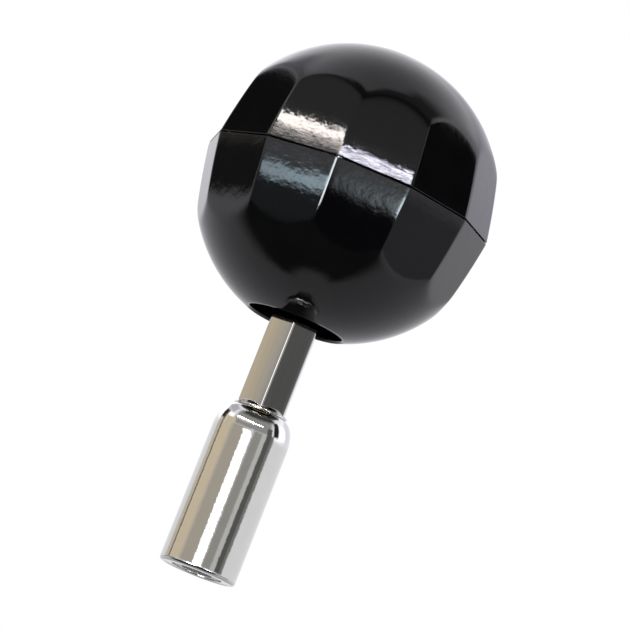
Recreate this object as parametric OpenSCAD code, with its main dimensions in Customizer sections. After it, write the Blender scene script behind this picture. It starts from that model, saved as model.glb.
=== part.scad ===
// Case opening friction ball: a hollow two-part ball with a twelve-sided grip belt, on a hexagon
// spindle that turns in a plain round barrel. The origin is the centre of the barrel's end face
// and +Z runs along the spindle to the ball. A corner of the hexagon points along -Y.

/* [Ball] */
// Diameter of the ball
ball_d = 62; // [60:0.5:66]
// Height of the ball's centre above the barrel's end face
ball_z = 83.8; // [82:0.1:90]
// Flat-looking grip faces round the belt, on each half
belt_sides = 12; // [10:2:16]
// Radius over the belt's corners at the seam
belt_corner_r = 30.6; // [30.2:0.1:30.9]
// Inward lean of the grip faces at the seam, in degrees
belt_lean = 8.5; // [7:0.5:11]
// Radius of the grip faces' slight bow, seen from the side
belt_bow_r = 150; // [110:5:300]
// Turn of the belt's corners from the spindle's corners, in degrees
belt_turn = -5; // [-15:1:15]
// Width of the open seam between the two halves
seam_gap = 0.35; // [0.2:0.05:0.6]
// Thickness of the moulded wall at the poles
wall = 5.4; // [4.8:0.1:6]
// Diameter of the hole that the spindle leaves by
mouth_d = 20; // [18:0.5:22]

/* [Spindle] */
// Hexagon bar, across the flats
hex_af = 10; // [9:0.5:11]
// Diameter over the hexagon's turned-down corners
hex_corner_d = 11.36; // [10.8:0.02:11.5]
// Diameter of the journal that runs in the bushes
journal_d = 10; // [9:0.1:10.2]
// Diameter of the threaded stud in the ball
stud_d = 8; // [6:1:8]
// Diameter of the flared foot of the hexagon
foot_d = 11.44; // [11.4:0.02:12]
// Height of the flared foot
foot_h = 0.85; // [0.6:0.05:1.2]

/* [Barrel] */
// Diameter of the barrel
barrel_d = 16.2; // [15:0.1:18]
// Length of the barrel
barrel_l = 34.9; // [33:0.1:38]
// Height of the rounded shoulder
shoulder_h = 5.8; // [4:0.1:6.5]
// Width of the rounded shoulder
shoulder_w = 2.6; // [2:0.1:2.7]
// Radius of the rounded bottom edge
end_edge_r = 0.7; // [0.3:0.1:1]
// Diameter of the bore that holds the bushes
bush_d = 13.2; // [12.6:0.1:13.6]
// Diameter of the opening in the end face
end_hole_d = 10.8; // [10.6:0.1:11.2]

/* [Drive socket] */
// Hexagon recess across the flats, for a 6.35 mm driver
drive_af = 6.4; // [6.36:0.01:6.5]
// Depth of the hexagon recess
drive_depth = 10; // [8:0.5:11]
// How far the socket sits back from the barrel's end face
drive_setback = 0.3; // [0.2:0.1:1.2]

/* [Fits] */
// Radial clearance of a running or push fit
run_gap = 0.04; // [0.02:0.01:0.08]
// End float between faces that turn on each other
end_float = 0.03; // [0.02:0.01:0.1]

/* [Hidden] */

$fn = 96;
ball_r = ball_d / 2;
cavity_r = ball_r - wall;
eps = 0.01;
past = 1;

// joining ring, in heights from the ball's centre
ring_r = 26;
ring_wall = 2.6;
ring_half_h = 5;
seal_h = 2.7;
seal_section_d = 1.36;
seal_groove_w = 1.7;
seal_centre_r = ring_r - seal_section_d / 2 - 0.02;
dowel_r = 0.9;
dowel_half_l = 2.6;
dowel_centre_r = 27.75;
dowel_count = 4;

// hub and its shelf, in heights from the ball's centre
shelf_top = -7;
shelf_h = 5;
shelf_bore_r = 9;
flange_r = 20;
flange_h = 3;
hub_r = 8.9;
hub_bottom = -22;
hub_top = -1;
hex_top = -5;
screw_circle_r = 16.5;
screw_count = 6;
screw_r = 1.5;
screw_head_r = 2.75;
screw_head_h = 2;
screw_l = 7;

// stack on the stud, in heights from the ball's centre
washer_h = 1.6;
spring_h = 2;
nut_h = 6.5;
nut_af = 13;
stud_top = 11;
pad_h = 2;
pad_bottom = stud_top + 0.3;
boss_r = 6;
rib_w = 2;
rib_count = 6;
rib_reach = 17;
rib_bottom = 16;

// spindle's lower end, in heights from the barrel's end face
thrust_h = 0.4;
foot_z = barrel_l + thrust_h + end_float;
socket_top = 15;
spigot_r = 3;
spigot_l = 3.3;
pin_r = 1;
pin_z = 13.3;
clip_z = 6.5;
clip_section_r = 0.4;
clip_centre_r = 3.45;
dust_z = 1.95;
dust_section_r = 0.38;
circlip_z = 3.4;
circlip_h = 0.9;
circlip_groove_r = 4.5;
backing_h = 0.8;
lower_bush_z = circlip_z + circlip_h + backing_h + 3 * end_float;
bush_l = 8;
upper_bush_z = barrel_l - shoulder_h - bush_l;
end_ring_h = 2.6;
end_ring_setback = 0.05;
neck_hole_r = 5.3;

barrel_r = barrel_d / 2;
bush_r = bush_d / 2;
journal_r = journal_d / 2;
belt_face_r = belt_corner_r * cos(180 / belt_sides);

// ring between two radii, standing on z
module ring(z, outer_r, inner_r, h) {
    translate([0, 0, z]) difference() {
        cylinder(r = outer_r, h = h);
        translate([0, 0, -past]) cylinder(r = inner_r, h = h + 2 * past);
    }
}

// hexagon prism with a corner pointing along -Y
module hexagon(af, z, h) {
    translate([0, 0, z]) rotate(30) cylinder(r = af / sqrt(3), h = h, $fn = 6);
}

// round-section ring lying flat
module torus(z, centre_r, section_r) {
    translate([0, 0, z]) rotate_extrude() translate([centre_r, 0]) circle(section_r, $fn = 32);
}

// room inside the twelve bowed grip faces of the lower half, about the ball's centre
module belt_room() {
    intersection_for(k = [0 : belt_sides - 1])
        rotate(belt_turn + (k + 0.5) * 360 / belt_sides)
            translate([belt_face_r - belt_bow_r * cos(belt_lean), 0, belt_bow_r * sin(belt_lean)])
                rotate([90, 0, 0])
                    cylinder(r = belt_bow_r, h = 3 * ball_r, center = true, $fn = 720);
}

// outside of the ball's lower half; the upper half is its mirror image
module half_ball() {
    intersection() {
        sphere(ball_r, $fn = 180);
        belt_room();
        translate([0, 0, -seam_gap / 2 - ball_r]) cube(2 * ball_r, center = true);
    }
}

// dowel positions in the wall at the seam, on the belt's corners
module at_dowels() {
    for (k = [0 : dowel_count - 1])
        rotate(belt_turn + k * 360 / dowel_count) translate([dowel_centre_r, 0, 0]) children();
}

// upper half with its seat for the joining ring, a centre boss and stiffening ribs
module upper_shell() {
    color("#101114") translate([0, 0, ball_z]) {
        difference() {
            mirror([0, 0, 1]) half_ball();
            sphere(cavity_r, $fn = 120);
            translate([0, 0, -past])
                cylinder(r = ring_r + run_gap, h = past + ring_half_h + end_float);
            at_dowels() translate([0, 0, -past])
                cylinder(r = dowel_r + run_gap, h = past + dowel_half_l + 0.4, $fn = 32);
        }
        intersection() {
            sphere(cavity_r + wall / 2, $fn = 120);
            union() {
                translate([0, 0, pad_bottom + pad_h]) cylinder(r = boss_r, h = ball_r);
                for (k = [0 : rib_count / 2 - 1]) rotate(k * 360 / rib_count)
                    translate([-rib_reach, -rib_w / 2, rib_bottom]) cube([2 * rib_reach, rib_w, ball_r]);
            }
        }
    }
}

// pad under the boss, through which a push on the pole reaches the spindle
module load_pad() {
    color("#3a3430") translate([0, 0, ball_z + pad_bottom]) cylinder(r = boss_r - 0.8, h = pad_h);
}

// lower half with the shelf that the hub is screwed to and the hole for the spindle
module lower_shell() {
    color("#101114") translate([0, 0, ball_z]) difference() {
        union() {
            difference() {
                half_ball();
                sphere(cavity_r, $fn = 120);
                translate([0, 0, -ring_half_h]) cylinder(r = ring_r, h = ring_half_h + past);
            }
            intersection() {
                sphere(cavity_r + wall / 2, $fn = 120);
                translate([0, 0, shelf_top - shelf_h]) cylinder(r = ball_r, h = shelf_h);
            }
        }
        translate([0, 0, -ball_r]) cylinder(d = mouth_d, h = ball_r / 2);
        translate([0, 0, -ball_r]) cylinder(r = shelf_bore_r, h = ball_r);
        for (k = [0 : screw_count - 1]) rotate((k + 0.5) * 360 / screw_count)
            translate([screw_circle_r, 0, shelf_top - shelf_h - past])
                cylinder(r = screw_r, h = shelf_h + 2 * past, $fn = 24);
        at_dowels() translate([0, 0, -dowel_half_l])
            cylinder(r = dowel_r, h = dowel_half_l + past, $fn = 32);
    }
}

// ring that joins the halves: fixed in the lower one, the upper one pushes over it
module joining_ring() {
    notch_w = 3;
    notch_h = 1.6;
    color("#4a4d52") translate([0, 0, ball_z]) difference() {
        ring(-ring_half_h, ring_r, ring_r - ring_wall, 2 * ring_half_h);
        ring(seal_h - seal_groove_w / 2, ring_r + past, seal_centre_r - seal_section_d / 2, seal_groove_w);
        for (k = [0 : 3]) rotate(k * 90 + 45)
            translate([ring_r - ring_wall - past, -notch_w / 2, ring_half_h - notch_h])
                cube([ring_wall + 2 * past, notch_w, notch_h + past]);
    }
}

// rubber ring in the joining ring's groove, whose grip holds the upper half on
module seal_ring() {
    color("#1a1a1a") translate([0, 0, ball_z]) torus(seal_h, seal_centre_r, seal_section_d / 2);
}

// four dowels across the seam that carry the twist from half to half
module locating_dowels() {
    color("#b9bcc0") translate([0, 0, ball_z]) at_dowels()
        translate([0, 0, -dowel_half_l]) cylinder(r = dowel_r, h = 2 * dowel_half_l, $fn = 32);
}

// hub: a flanged boss with a hexagon pocket for the spindle and a web that its end bears on
module hub() {
    color("#c4a25a") translate([0, 0, ball_z]) difference() {
        union() {
            translate([0, 0, hub_bottom]) cylinder(r = hub_r, h = hub_top - hub_bottom);
            translate([0, 0, shelf_top]) cylinder(r = flange_r, h = flange_h);
        }
        intersection() {
            hexagon(hex_af + 2 * run_gap, hub_bottom - past, hex_top - hub_bottom + past);
            translate([0, 0, hub_bottom - past])
                cylinder(d = hex_corner_d + 2 * run_gap, h = hex_top - hub_bottom + past);
        }
        translate([0, 0, hex_top - past]) cylinder(d = stud_d + 2 * run_gap, h = hub_top - hex_top + 2 * past);
        for (k = [0 : screw_count - 1]) rotate((k + 0.5) * 360 / screw_count)
            translate([screw_circle_r, 0, shelf_top - past])
                cylinder(r = screw_r + 0.1, h = flange_h + 2 * past, $fn = 24);
    }
}

// six socket-head screws through the hub's flange into the shelf
module hub_screws() {
    socket_af = 2.5;
    socket_depth = 1.2;
    color("#55585c") translate([0, 0, ball_z])
        for (k = [0 : screw_count - 1]) rotate((k + 0.5) * 360 / screw_count)
            translate([screw_circle_r, 0, shelf_top + flange_h]) difference() {
                union() {
                    cylinder(r = screw_head_r, h = screw_head_h, $fn = 32);
                    translate([0, 0, -screw_l]) cylinder(r = screw_r, h = screw_l + eps, $fn = 24);
                }
                translate([0, 0, screw_head_h - socket_depth])
                    cylinder(r = socket_af / sqrt(3), h = socket_depth + past, $fn = 6);
            }
}

// plain washer on the hub
module spindle_washer() {
    color("#b9bcc0") ring(ball_z + hub_top, 8, stud_d / 2 + 0.2, washer_h);
}

// split spring washer on the plain washer
module spring_washer() {
    slit_w = 0.8;
    color("#8b8f94") difference() {
        ring(ball_z + hub_top + washer_h, 7.2, stud_d / 2 + 0.15, spring_h);
        translate([0, -slit_w / 2, ball_z + hub_top + washer_h - past])
            cube([stud_d * 2, slit_w, spring_h + 2 * past]);
    }
}

// hexagon nut that clamps the hub against the end of the hexagon bar
module spindle_nut() {
    corner_d = 14.2;
    nut_z = ball_z + hub_top + washer_h + spring_h;
    color("#b9bcc0") difference() {
        intersection() {
            hexagon(nut_af, nut_z, nut_h);
            translate([0, 0, nut_z]) cylinder(d = corner_d, h = nut_h);
        }
        translate([0, 0, nut_z - past]) cylinder(d = stud_d, h = nut_h + 2 * past);
    }
}

// spindle: threaded stud, hexagon bar with a flared foot, journal and spigot, in one piece
module spindle() {
    chamfer = 0.8;
    color("#c8cbd0") {
        intersection() {
            hexagon(hex_af, foot_z, ball_z + hex_top - foot_z);
            translate([0, 0, foot_z]) cylinder(d = hex_corner_d, h = ball_z + hex_top - foot_z);
        }
        translate([0, 0, foot_z]) cylinder(d1 = foot_d, d2 = foot_d - 2 * foot_h, h = foot_h);
        translate([0, 0, ball_z + hex_top - eps])
            cylinder(d = stud_d, h = stud_top - hex_top - chamfer + eps);
        translate([0, 0, ball_z + stud_top - chamfer])
            cylinder(d1 = stud_d, d2 = stud_d - 2 * chamfer, h = chamfer);
        translate([0, 0, socket_top]) cylinder(r = journal_r, h = foot_z - socket_top + eps);
        difference() {
            translate([0, 0, socket_top - spigot_l]) cylinder(r = spigot_r, h = spigot_l + eps);
            translate([0, 0, pin_z]) rotate([0, 90, 0])
                cylinder(r = pin_r, h = journal_d, center = true, $fn = 32);
        }
    }
}

// polished washer between the spindle's foot and the barrel, with its edge rounded
module thrust_washer() {
    washer_r = foot_d / 2;
    edge_r = 0.15;
    color("#c8cbd0") translate([0, 0, barrel_l + end_float]) rotate_extrude() {
        translate([journal_r + run_gap, 0]) square([washer_r - edge_r - journal_r - run_gap, thrust_h]);
        translate([journal_r + run_gap, edge_r])
            square([washer_r - journal_r - run_gap, thrust_h - 2 * edge_r]);
        for (z = [edge_r, thrust_h - edge_r])
            translate([washer_r - edge_r, z]) circle(edge_r, $fn = 32);
    }
}

// hardened drive socket pinned to the spindle's spigot: hexagon recess, clip and ring grooves
module drive_socket() {
    chamfer = 0.3;
    color("#8b8f94") difference() {
        translate([0, 0, drive_setback]) union() {
            cylinder(r1 = journal_r - chamfer, r2 = journal_r, h = chamfer);
            translate([0, 0, chamfer]) cylinder(r = journal_r, h = socket_top - drive_setback - chamfer);
        }
        hexagon(drive_af, drive_setback - past, drive_depth + past);
        ring(clip_z - clip_section_r - end_float, clip_centre_r + clip_section_r, 1, 2 * (clip_section_r + end_float));
        ring(circlip_z - end_float, journal_r + past, circlip_groove_r, circlip_h + 2 * end_float);
        ring(dust_z - dust_section_r, journal_r + past, journal_r - 0.45, 2 * dust_section_r);
        translate([0, 0, socket_top - spigot_l]) cylinder(r = spigot_r, h = spigot_l + past);
        translate([0, 0, pin_z]) rotate([0, 90, 0])
            cylinder(r = pin_r, h = 2 * journal_d, center = true, $fn = 32);
    }
}

// pin through the drive socket and the spigot
module socket_pin() {
    color("#b9bcc0") translate([0, 0, pin_z]) rotate([0, 90, 0])
        cylinder(r = pin_r, h = journal_d - 0.8, center = true, $fn = 32);
}

// open wire ring in the hexagon recess that holds a driver in
module bit_clip() {
    mouth_w = 1.6;
    color("#55585c") difference() {
        torus(clip_z, clip_centre_r, clip_section_r);
        translate([0, -mouth_w / 2, clip_z - past]) cube([journal_d, mouth_w, 2 * past]);
    }
}

// rubber ring that closes the gap between the socket and the end ring
module dust_ring() {
    color("#1a1a1a") torus(dust_z, journal_r - 0.05, dust_section_r);
}

// circlip in the drive socket's groove, with two eyes at its mouth
module circlip() {
    mouth_half_angle = 18;
    outer_r = 5.9;
    eye_r = 0.95;
    eye_centre_r = 5.45;
    eye_hole_r = 0.4;
    color("#55585c") translate([0, 0, circlip_z]) difference() {
        union() {
            ring(0, outer_r, circlip_groove_r + 0.02, circlip_h);
            for (side = [-1, 1]) rotate(side * 27) translate([eye_centre_r, 0, 0])
                cylinder(r = eye_r, h = circlip_h, $fn = 24);
        }
        translate([0, 0, -past]) cylinder(r = circlip_groove_r + 0.02, h = circlip_h + 2 * past);
        translate([0, 0, -past]) linear_extrude(circlip_h + 2 * past)
            polygon([[0, 0], [9, 9 * tan(-mouth_half_angle)], [9, 9 * tan(mouth_half_angle)]]);
        for (side = [-1, 1]) rotate(side * 27) translate([eye_centre_r, 0, -past])
            cylinder(r = eye_hole_r, h = circlip_h + 2 * past, $fn = 16);
    }
}

// washer between the circlip and the lower bush
module backing_washer() {
    color("#b9bcc0") ring(circlip_z + circlip_h + end_float, bush_r - 0.3, journal_r + run_gap, backing_h);
}

// barrel: a tube with a rounded shoulder drawn in round the journal
module barrel() {
    steps = 12;
    shoulder = [for (i = [0 : steps]) [
        barrel_r - shoulder_w + shoulder_w * cos(90 * i / steps),
        barrel_l - shoulder_h + shoulder_h * sin(90 * i / steps)]];
    edge = [for (i = [0 : 6]) [
        barrel_r - end_edge_r + end_edge_r * sin(15 * i),
        end_edge_r - end_edge_r * cos(15 * i)]];
    color("#c8cbd0") rotate_extrude($fn = 128) polygon(concat(
        [[bush_r, 0]], edge, shoulder,
        [[neck_hole_r, barrel_l], [neck_hole_r, barrel_l - shoulder_h], [bush_r, barrel_l - shoulder_h]]));
}

// plain bearing bush; both bushes are alike
module bush(z) {
    color("#b5843c") ring(z, bush_r, journal_r + run_gap, bush_l);
}

module upper_bush() {
    bush(upper_bush_z);
}

module lower_bush() {
    bush(lower_bush_z);
}

// thin tube that keeps the bushes apart
module spacer_tube() {
    z = lower_bush_z + bush_l;
    color("#a9adb2") ring(z, bush_r, bush_r - 0.9, upper_bush_z - z);
}

// ring that closes the barrel's end, flush with its face
module end_ring() {
    color("#c8cbd0") ring(end_ring_setback, bush_r, end_hole_d / 2, end_ring_h);
}

upper_shell();
load_pad();
lower_shell();
joining_ring();
seal_ring();
locating_dowels();
hub();
hub_screws();
spindle_washer();
spring_washer();
spindle_nut();
spindle();
thrust_washer();
drive_socket();
socket_pin();
bit_clip();
dust_ring();
circlip();
backing_washer();
barrel();
upper_bush();
spacer_tube();
lower_bush();
end_ring();
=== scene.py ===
import math

import bmesh
import bpy
import numpy as np
from mathutils import Matrix, Vector


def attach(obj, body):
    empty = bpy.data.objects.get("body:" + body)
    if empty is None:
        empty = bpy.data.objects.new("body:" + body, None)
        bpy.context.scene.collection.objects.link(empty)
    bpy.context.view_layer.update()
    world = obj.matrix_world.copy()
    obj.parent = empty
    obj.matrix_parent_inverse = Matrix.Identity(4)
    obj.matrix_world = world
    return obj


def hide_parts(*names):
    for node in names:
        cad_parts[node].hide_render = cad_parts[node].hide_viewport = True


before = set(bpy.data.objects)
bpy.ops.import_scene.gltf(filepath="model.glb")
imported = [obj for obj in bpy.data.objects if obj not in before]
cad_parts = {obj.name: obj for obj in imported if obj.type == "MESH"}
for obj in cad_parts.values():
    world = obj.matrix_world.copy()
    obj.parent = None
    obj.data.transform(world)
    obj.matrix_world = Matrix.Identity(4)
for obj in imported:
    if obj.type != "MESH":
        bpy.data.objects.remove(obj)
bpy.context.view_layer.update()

# Camera: it stands below the ball's middle, looks slightly up and leans, so that the spindle runs
# from the lower left to the upper right.
camera_azimuth = math.radians(3.0)
camera_elevation = math.radians(-9.73)
camera_lean = math.radians(21.587)
camera_distance = 0.723
view_width = 0.1283
aim_point = Vector((0.0031, 0.0002, 0.0578))

camera_back = Vector((
    math.sin(camera_azimuth) * math.cos(camera_elevation),
    -math.cos(camera_azimuth) * math.cos(camera_elevation),
    math.sin(camera_elevation),
))
level_right = Vector((math.cos(camera_azimuth), math.sin(camera_azimuth), 0))
level_up = camera_back.cross(level_right)
camera_right = math.cos(camera_lean) * level_right + math.sin(camera_lean) * level_up
camera_up = camera_back.cross(camera_right)
camera_data = bpy.data.cameras.new("camera")
camera_data.sensor_width = 36.0
camera_data.lens = camera_data.sensor_width * camera_distance / view_width
camera_data.clip_start = 0.01
camera_data.clip_end = 20.0
camera = bpy.data.objects.new("camera", camera_data)
bpy.context.scene.collection.objects.link(camera)
camera.matrix_world = (
    Matrix.Translation(aim_point + camera_back * camera_distance)
    @ Matrix((camera_right, camera_up, camera_back)).transposed().to_4x4()
)
bpy.context.scene.camera = camera

# Spindle: one piece of steel bar, turned, milled to a hexagon, threaded at the top, polished and
# chromed. Its journal and spigot are hidden in the barrel and its stud in the ball.
MM = 0.001
ball_z = 83.8
hex_flat_r = 5.0
hex_corner_r = 5.6
polished_crown = 0.1
hex_top_z = 78.8
foot_r = 5.72
foot_z = 35.33
journal_r = 5.0
journal_z = 15.0
spigot_r = 3.0
spigot_z = 11.7
stud_r = 4.0
stud_top_z = 94.8
thread_pitch = 1.25
thread_depth = 0.55
thread_end_z = 93.6
corner_offsets = (0, 0.5, 1.0, 1.4, 1.67, 1.95, 2.4, 3.2, 5, 8, 12, 17, 23, 30)


def hex_to_linear(code):
    """Linear colour of an sRGB hex value."""
    shares = [int(code[i : i + 2], 16) / 255 for i in (1, 3, 5)]
    linear = [s / 12.92 if s <= 0.04045 else ((s + 0.055) / 1.055) ** 2.4 for s in shares]
    return (*linear, 1.0)


def add_node(tree, kind, inputs=None, **settings):
    """Adds a node with its settings; each input is a value or another node's output."""
    node = tree.nodes.new(kind)
    for name, value in settings.items():
        setattr(node, name, value)
    for socket, value in (inputs or {}).items():
        if isinstance(value, bpy.types.NodeSocket):
            tree.links.new(value, node.inputs[socket])
        else:
            node.inputs[socket].default_value = value
    return node


def start_material(name):
    """A material with a Principled shader: itself, its tree, the shader and the place in metres."""
    material = bpy.data.materials.new(name)
    material.use_nodes = True
    tree = material.node_tree
    tree.nodes.clear()
    place = add_node(tree, "ShaderNodeTexCoord").outputs["Object"]
    shader = add_node(tree, "ShaderNodeBsdfPrincipled")
    add_node(tree, "ShaderNodeOutputMaterial", {"Surface": shader.outputs["BSDF"]})
    return material, tree, shader, place


def grain_per(size_mm):
    """Noise scale whose grains are this many millimetres across."""
    return 1 / (size_mm * MM)


def mesh_piece(name, vertices, faces, material):
    """A smooth-shaded object from vertices in millimetres, with its faces turned outward."""
    mesh = bpy.data.meshes.new(name)
    mesh.from_pydata([(x * MM, y * MM, z * MM) for x, y, z in vertices], [], faces)
    work = bmesh.new()
    work.from_mesh(mesh)
    bmesh.ops.recalc_face_normals(work, faces=work.faces)
    work.to_mesh(mesh)
    work.free()
    mesh.shade_smooth()
    mesh.materials.append(material)
    piece = bpy.data.objects.new(name, mesh)
    bpy.context.scene.collection.objects.link(piece)
    return piece


def keep_flats_flat(piece):
    """Flat faces keep flat shading beside their small rounded edges."""
    weighted = piece.modifiers.new("flats stay flat", "WEIGHTED_NORMAL")
    weighted.weight = 80


def join_rows(rows, loop):
    """Faces between rows of vertex numbers; a row of one number is a point on the axis."""
    faces = []
    pairs = list(zip(rows, rows[1:]))
    if loop:
        pairs.append((rows[-1], rows[0]))
    for low, high in pairs:
        if len(low) == 1 and len(high) == 1:
            continue
        count = max(len(low), len(high))
        for k in range(count):
            n = (k + 1) % count
            if len(low) == 1:
                faces.append((low[0], high[n], high[k]))
            elif len(high) == 1:
                faces.append((low[k], low[n], high[0]))
            else:
                faces.append((low[k], low[n], high[n], high[k]))
    return faces


# Polished chrome plate: near-neutral and mirror-bright, with a haze that varies a little from
# place to place. Polishing leaves a faint swell under the thin plating, and the wheel a fine
# ripple that frays the edges of bright and dark bands.
chrome_plate, tree, chrome, place = start_material("polished chrome plate")
haze = add_node(tree, "ShaderNodeTexNoise", {"Vector": place, "Scale": grain_per(2.5), "Detail": 3.0})
chrome_tint = add_node(tree, "ShaderNodeMix", {
    "Factor": haze.outputs["Fac"],
    "A": hex_to_linear("#CBCAC6"),
    "B": hex_to_linear("#D1D1CF"),
}, data_type="RGBA")
chrome_haze = add_node(tree, "ShaderNodeMapRange", {
    "Value": haze.outputs["Fac"], "From Min": 0.3, "From Max": 0.7, "To Min": 0.03, "To Max": 0.055,
})
polish_wave = add_node(tree, "ShaderNodeTexNoise", {
    "Vector": place, "Scale": grain_per(5.0), "Detail": 1.0,
})
polish_swell = add_node(tree, "ShaderNodeBump", {
    "Height": polish_wave.outputs["Fac"], "Strength": 1.0, "Distance": 0.004 * MM,
})
wheel_marks = add_node(tree, "ShaderNodeTexNoise", {
    "Vector": place, "Scale": grain_per(0.9), "Detail": 1.0,
})
polish_bump = add_node(tree, "ShaderNodeBump", {
    "Height": wheel_marks.outputs["Fac"], "Strength": 1.0, "Distance": 0.012 * MM,
    "Normal": polish_swell.outputs["Normal"],
})
tree.links.new(chrome_tint.outputs["Result"], chrome.inputs["Base Color"])
tree.links.new(chrome_haze.outputs["Result"], chrome.inputs["Roughness"])
tree.links.new(polish_bump.outputs["Normal"], chrome.inputs["Normal"])
chrome.inputs["Metallic"].default_value = 1.0

# Chrome over ground flats: the same plate on the bar, a little darker and streaked along the bar
# where the grinding lines of the flats show through it.
bar_chrome, tree, flats, place = start_material("chrome over ground flats")
grinding = add_node(tree, "ShaderNodeMapping", {"Vector": place, "Scale": (1.0, 1.0, 0.015)})
grinding_noise = add_node(tree, "ShaderNodeTexNoise", {
    "Vector": grinding.outputs["Vector"], "Scale": grain_per(0.35), "Detail": 3.0, "Roughness": 0.65,
})
flats_tint = add_node(tree, "ShaderNodeMix", {
    "Factor": grinding_noise.outputs["Fac"],
    "A": hex_to_linear("#B5B4B2"),
    "B": hex_to_linear("#C9C9C8"),
}, data_type="RGBA")
flats_haze = add_node(tree, "ShaderNodeMapRange", {
    "Value": grinding_noise.outputs["Fac"], "From Min": 0.3, "From Max": 0.7, "To Min": 0.03, "To Max": 0.08,
})
grinding_bump = add_node(tree, "ShaderNodeBump", {
    "Height": grinding_noise.outputs["Fac"], "Strength": 1.0, "Distance": 0.0012 * MM,
})
tree.links.new(flats_tint.outputs["Result"], flats.inputs["Base Color"])
tree.links.new(flats_haze.outputs["Result"], flats.inputs["Roughness"])
tree.links.new(grinding_bump.outputs["Normal"], flats.inputs["Normal"])
flats.inputs["Metallic"].default_value = 1.0

corner_turns = []
for corner in range(6):
    sides = [-d for d in reversed(corner_offsets[1:])] + list(corner_offsets[:-1])
    corner_turns += [math.radians(-90 + 60 * corner + d) for d in sides]


def hex_reach(turn):
    """Radius of the hexagon bar, whose corners are turned down a little."""
    off = (math.degrees(turn) + 90 + 30) % 60 - 30
    from_middle = math.radians(30 - abs(off))
    crown = polished_crown * (math.tan(from_middle) / math.tan(math.radians(30))) ** 2
    flat = (hex_flat_r - crown) / math.cos(from_middle)
    soft = 0.02
    return -soft * math.log(math.exp(-flat / soft) + math.exp(-hex_corner_r / soft))


def thread_reach(turn, z):
    """Radius of the stud, with a 60-degree thread that fades out at its ends."""
    wave = abs(((z / thread_pitch - turn / (2 * math.pi)) % 1) * 2 - 1)
    depth = thread_depth * min(1, max(0, (z - hex_top_z - 1.0) / 0.8), max(0, (thread_end_z - z) / 0.4))
    return stud_r - 0.02 - depth * min(1, max(0, 1.25 * wave - 0.125))


spindle_rows = [
    lambda turn: (0, spigot_z),
    lambda turn: (spigot_r - 0.3, spigot_z),
    lambda turn: (spigot_r, spigot_z + 0.3),
    lambda turn: (spigot_r, journal_z),
    lambda turn: (journal_r - 0.2, journal_z),
    lambda turn: (journal_r, journal_z + 0.2),
    lambda turn: (journal_r, journal_z + 1),
    lambda turn: (journal_r, foot_z - 1),
    lambda turn: (journal_r, foot_z),
    lambda turn: (foot_r - 0.06, foot_z),
    lambda turn: (foot_r - 0.02, foot_z + 0.02),
    lambda turn: (foot_r - 0.03, foot_z + 0.07),
]
for share in (0.25, 0.6, 0.92):
    spindle_rows.append(lambda turn, share=share: (
        foot_r - 0.06 - share * (foot_r - 0.06 - hex_reach(turn)),
        foot_z + 0.1 + share * (foot_r - 0.06 - hex_reach(turn)),
    ))
for rise in (0.06, 0.25, 1.5):
    spindle_rows.append(lambda turn, rise=rise: (
        hex_reach(turn), foot_z + 0.1 + foot_r - 0.06 - hex_reach(turn) + rise,
    ))
for z in (45, 55, 65, 75, hex_top_z - 0.5, hex_top_z - 0.2):
    spindle_rows.append(lambda turn, z=z: (hex_reach(turn), z))
spindle_rows.append(lambda turn: (hex_reach(turn) - 0.06, hex_top_z - 0.05))
spindle_rows.append(lambda turn: (hex_reach(turn) - 0.2, hex_top_z))
spindle_rows.append(lambda turn: (stud_r + 0.15, hex_top_z))
spindle_rows.append(lambda turn: (stud_r - 0.02, hex_top_z + 0.15))
thread_steps = round((thread_end_z - hex_top_z - 0.6) / thread_pitch * 10)
for step in range(thread_steps + 1):
    z = hex_top_z + 0.6 + (thread_end_z - hex_top_z - 0.6) * step / thread_steps
    spindle_rows.append(lambda turn, z=z: (thread_reach(turn, z), z))
spindle_rows.append(lambda turn: (stud_r - 0.04, stud_top_z - 0.8))
spindle_rows.append(lambda turn: (stud_r - 0.8, stud_top_z - 0.04))
spindle_rows.append(lambda turn: (stud_r - 0.95, stud_top_z))
spindle_rows.append(lambda turn: (0, stud_top_z))

spindle_points = []
spindle_numbers = []
for row in spindle_rows:
    turns = corner_turns if row(0)[0] > 0 else [0.0]
    spindle_numbers.append(list(range(len(spindle_points), len(spindle_points) + len(turns))))
    for turn in turns:
        r, z = row(turn)
        spindle_points.append((r * math.cos(turn), r * math.sin(turn), z))
spindle = mesh_piece("spindle_bar", spindle_points, join_rows(spindle_numbers, False), bar_chrome)
keep_flats_flat(spindle)
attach(spindle, "ball")
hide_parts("spindle")

# Thrust washer: a thin ring turned from steel, polished and chromed like the spindle. It lies
# between the spindle's foot and the barrel, and shows as a bright line.
thrust_z = 34.93
thrust_h = 0.4
run_gap = 0.04


def round_corners(outline, radius, steps=4):
    """A closed outline with a small arc at each corner; radius is one size or one per corner."""
    rounded = []
    for i, point in enumerate(outline):
        size = radius[i] if isinstance(radius, (list, tuple)) else radius
        here = Vector(point)
        back = Vector(outline[i - 1]) - here
        ahead = Vector(outline[(i + 1) % len(outline)]) - here
        if size == 0:
            rounded.append(tuple(here))
            continue
        reach = size / math.tan(back.angle(ahead) / 2)
        reach = min(reach, 0.45 * back.length, 0.45 * ahead.length)
        start = here + back.normalized() * reach
        end = here + ahead.normalized() * reach
        for step in range(steps + 1):
            t = step / steps
            rounded.append(tuple(start * (1 - t) ** 2 + here * 2 * t * (1 - t) + end * t**2))
    return rounded


def turned_piece(name, outline, material, count=128):
    """A ring turned from a closed outline of radius and height, in millimetres."""
    points = []
    numbers = []
    for r, z in outline:
        numbers.append(list(range(len(points), len(points) + count)))
        for k in range(count):
            turn = 2 * math.pi * k / count
            points.append((r * math.cos(turn), r * math.sin(turn), z))
    piece = mesh_piece(name, points, join_rows(numbers, True), material)
    keep_flats_flat(piece)
    return piece


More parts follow.
